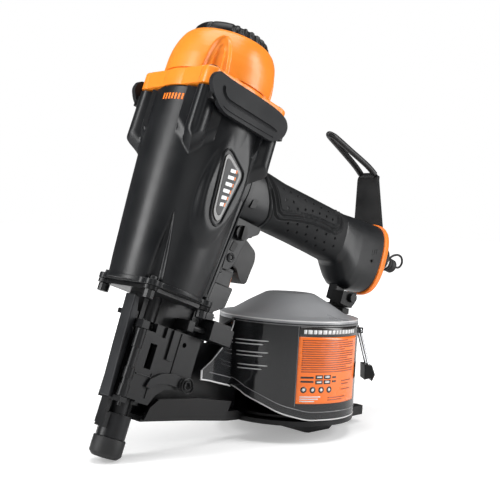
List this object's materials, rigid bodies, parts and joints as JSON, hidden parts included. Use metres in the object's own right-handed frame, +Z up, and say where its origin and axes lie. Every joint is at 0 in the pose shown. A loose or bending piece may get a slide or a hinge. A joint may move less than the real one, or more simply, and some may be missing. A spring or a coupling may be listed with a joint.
{
  "type": "pneumatic coil nailer",
  "caption": "Pneumatic coil siding nailer with trigger, contact nose, swing-open round magazine, exhaust deflector and belt hook.",
  "frame": {"origin": "centre of the footprint, on the floor under the nose tip and the magazine foot", "axes": "+X rearward from the nose side to the air plug, +Y to the operator's right, +Z up"},
  "size_m": [0.313, 0.1078, 0.2973],
  "materials": {
    "air_plug": "bright steel",
    "badge_left": "silver film",
    "badge_right": "silver film",
    "base_bolt": "black oxide steel",
    "belt_hook": "black oxide steel",
    "body_housing": "cast light alloy, satin charcoal coat",
    "bracket_bolt": "black oxide steel",
    "bumper_left": "matte moulded rubber",
    "bumper_right": "matte moulded rubber",
    "cap_gasket": "matte moulded rubber",
    "cap_screw_1": "black oxide steel",
    "cap_screw_2": "black oxide steel",
    "cap_screw_3": "black oxide steel",
    "cap_screw_4": "black oxide steel",
    "contact_arm": "black oxide steel",
    "contact_spring": "bright steel",
    "cover_hinge_pin": "bright steel",
    "cover_latch_bail": "plated wire",
    "cover_latch_grip": "matte moulded rubber",
    "cylinder_cap": "cast light alloy, satin orange coat",
    "cylinder_sleeve": "hard anodised",
    "depth_wheel": "satin, knurled",
    "door_latch": "black oxide steel",
    "door_pin": "bright steel",
    "driver_blade": "bright steel",
    "driver_piston": "turned",
    "dust_cap": "matte moulded rubber",
    "end_cap": "satin",
    "end_cap_screw_1": "black oxide steel",
    "end_cap_screw_2": "black oxide steel",
    "exhaust_bolt": "black oxide steel",
    "exhaust_deflector": "moulded",
    "feed_housing": "black oxide steel",
    "feed_piston": "black oxide steel",
    "feed_plug": "black oxide steel",
    "feed_spring": "bright steel",
    "handle_grip": "matte moulded rubber",
    "head_valve": "moulded",
    "head_valve_spring": "bright steel",
    "latch_spring": "bright steel",
    "magazine_base": "moulded",
    "magazine_bracket": "moulded",
    "magazine_cover": "smoke clear moulding",
    "mode_selector": "moulded",
    "nail_platform": "moulded",
    "no_mar_tip": "matte moulded rubber",
    "nose_bolt_1": "black oxide steel",
    "nose_bolt_2": "black oxide steel",
    "nose_bolt_3": "black oxide steel",
    "nose_bolt_4": "black oxide steel",
    "nose_door": "black oxide steel",
    "nose_guard": "grey phosphate",
    "nose_piece": "black oxide steel",
    "piston_bumper": "matte moulded rubber",
    "platform_post": "bright steel",
    "trigger": "satin charcoal",
    "trigger_lever": "bright steel",
    "trigger_pin": "bright steel",
    "trigger_valve_body": "moulded",
    "trigger_valve_stem": "bright steel"
  },
  "bodies": {
    "tool_body": {"air_plug": "air_plug", "badge_left": "badge_left", "badge_right": "badge_right", "base_bolt": "base_bolt", "body_housing": "body_housing", "bracket_bolt": "bracket_bolt", "bumper_left": "bumper_left", "bumper_right": "bumper_right", "cap_gasket": "cap_gasket", "cap_screw_1": "cap_screw_1", "cap_screw_2": "cap_screw_2", "cap_screw_3": "cap_screw_3", "cap_screw_4": "cap_screw_4", "contact_spring": "contact_spring", "cover_hinge_pin": "cover_hinge_pin", "cylinder_cap": "cylinder_cap", "cylinder_sleeve": "cylinder_sleeve", "door_pin": "door_pin", "end_cap": "end_cap", "end_cap_screw_1": "end_cap_screw_1", "end_cap_screw_2": "end_cap_screw_2", "exhaust_bolt": "exhaust_bolt", "feed_housing": "feed_housing", "feed_plug": "feed_plug", "feed_spring": "feed_spring", "handle_grip": "handle_grip", "head_valve_spring": "head_valve_spring", "magazine_base": "magazine_base", "magazine_bracket": "magazine_bracket", "nose_bolt_1": "nose_bolt_1", "nose_bolt_2": "nose_bolt_2", "nose_bolt_3": "nose_bolt_3", "nose_bolt_4": "nose_bolt_4", "nose_guard": "nose_guard", "nose_piece": "nose_piece", "piston_bumper": "piston_bumper", "platform_post": "platform_post", "trigger_pin": "trigger_pin", "trigger_valve_body": "trigger_valve_body"},
    "trigger": {"trigger": "trigger"},
    "trigger_lever": {"trigger_lever": "trigger_lever"},
    "valve_stem": {"trigger_valve_stem": "trigger_valve_stem"},
    "selector": {"mode_selector": "mode_selector"},
    "contact_arm": {"contact_arm": "contact_arm", "no_mar_tip": "no_mar_tip"},
    "depth_wheel": {"depth_wheel": "depth_wheel"},
    "exhaust_deflector": {"exhaust_deflector": "exhaust_deflector"},
    "belt_hook": {"belt_hook": "belt_hook"},
    "dust_cap": {"dust_cap": "dust_cap"},
    "driver": {"driver_piston": "driver_piston", "driver_blade": "driver_blade"},
    "head_valve": {"head_valve": "head_valve"},
    "feed_piston": {"feed_piston": "feed_piston"},
    "nose_door": {"nose_door": "nose_door", "latch_spring": "latch_spring"},
    "door_latch": {"door_latch": "door_latch"},
    "magazine_cover": {"magazine_cover": "magazine_cover"},
    "cover_latch": {"cover_latch_bail": "cover_latch_bail", "cover_latch_grip": "cover_latch_grip"},
    "nail_platform": {"nail_platform": "nail_platform"}
  },
  "joints": [
    {"name": "trigger_pull", "type": "hinge", "parent": "tool_body", "child": "trigger", "pos_m": [-0.05377, 0, 0.13341], "axis": [0, -1, 0], "range_deg": [0, 12], "stiffness_Nm_per_rad": 0.6, "springref_deg": -14.32},
    {"name": "lever_tilt", "type": "hinge", "parent": "trigger", "child": "trigger_lever", "pos_m": [-0.03377, 0, 0.13], "axis": [0, -1, 0], "range_deg": [0, 5], "stiffness_Nm_per_rad": 0.02, "springref_deg": -5.73},
    {"name": "stem_lift", "type": "slide", "parent": "tool_body", "child": "valve_stem", "axis": [0.3256, 0, 0.9455], "range_m": [0, 0.0036]},
    {"name": "selector_turn", "type": "hinge", "parent": "tool_body", "child": "selector", "pos_m": [-0.04596, -0.01316, 0.1509], "axis": [0, -1, 0], "range_deg": [0, 50]},
    {"name": "contact_press", "type": "slide", "parent": "tool_body", "child": "contact_arm", "axis": [0.3256, 0, 0.9455], "range_m": [0, 0.007], "stiffness_N_per_m": 1500, "springref_m": -0.018, "deforming": ["contact_spring"]},
    {"name": "depth_turn", "type": "hinge", "parent": "tool_body", "child": "depth_wheel", "pos_m": [-0.05209, 0, 0.11722], "axis": [0.3256, 0, 0.9455], "continuous": true},
    {"name": "exhaust_turn", "type": "hinge", "parent": "tool_body", "child": "exhaust_deflector", "pos_m": [-0.04984, 0, 0.28545], "axis": [0.3256, 0, 0.9455], "continuous": true},
    {"name": "hook_swing", "type": "hinge", "parent": "tool_body", "child": "belt_hook", "pos_m": [0.12551, 0, 0.13063], "axis": [0.9455, 0, -0.3256], "range_deg": [-68, 112]},
    {"name": "dust_cap_pull", "type": "slide", "parent": "tool_body", "child": "dust_cap", "axis": [0.9455, 0, -0.3256], "range_m": [0, 0.009]},
    {"name": "driver_stroke", "type": "slide", "parent": "tool_body", "child": "driver", "axis": [-0.3256, 0, -0.9455], "range_m": [0, 0.09776]},
    {"name": "head_valve_lift", "type": "slide", "parent": "tool_body", "child": "head_valve", "axis": [0.3256, 0, 0.9455], "range_m": [0, 0.0036], "stiffness_N_per_m": 2500, "springref_m": -0.008, "deforming": ["head_valve_spring"]},
    {"name": "feed_stroke", "type": "slide", "parent": "tool_body", "child": "feed_piston", "axis": [-0.9455, 0, 0.3256], "range_m": [0, 0.0088], "stiffness_N_per_m": 300, "springref_m": -0.01, "deforming": ["feed_spring"]},
    {"name": "door_swing", "type": "hinge", "parent": "tool_body", "child": "nose_door", "pos_m": [-0.13612, -0.01222, 0.06662], "axis": [-0.3256, 0, -0.9455], "range_deg": [0, 100]},
    {"name": "door_latch_turn", "type": "hinge", "parent": "nose_door", "child": "door_latch", "pos_m": [-0.09372, -0.01504, 0.04685], "axis": [0, 1, 0], "range_deg": [0, 14], "stiffness_Nm_per_rad": 0.05, "springref_deg": -17.19, "deforming": ["latch_spring"]},
    {"name": "cover_swing", "type": "hinge", "parent": "tool_body", "child": "magazine_cover", "pos_m": [0.07844, -0.00282, 0.05059], "axis": [0.0309, 0, 0.9995], "range_deg": [0, 88]},
    {"name": "cover_latch_swing", "type": "hinge", "parent": "magazine_cover", "child": "cover_latch", "pos_m": [0.0641, -0.03426, 0.07812], "axis": [-0.6154, -0.788, 0.019], "range_deg": [-6, 60]},
    {"name": "platform_height", "type": "slide", "parent": "tool_body", "child": "nail_platform", "axis": [0.0309, 0, 0.9995], "range_m": [0, 0.022]}
  ],
  "couplings": [
    {"joint": "stem_lift", "follows": "trigger_pull", "m_per_rad": 0.01654}
  ]
}
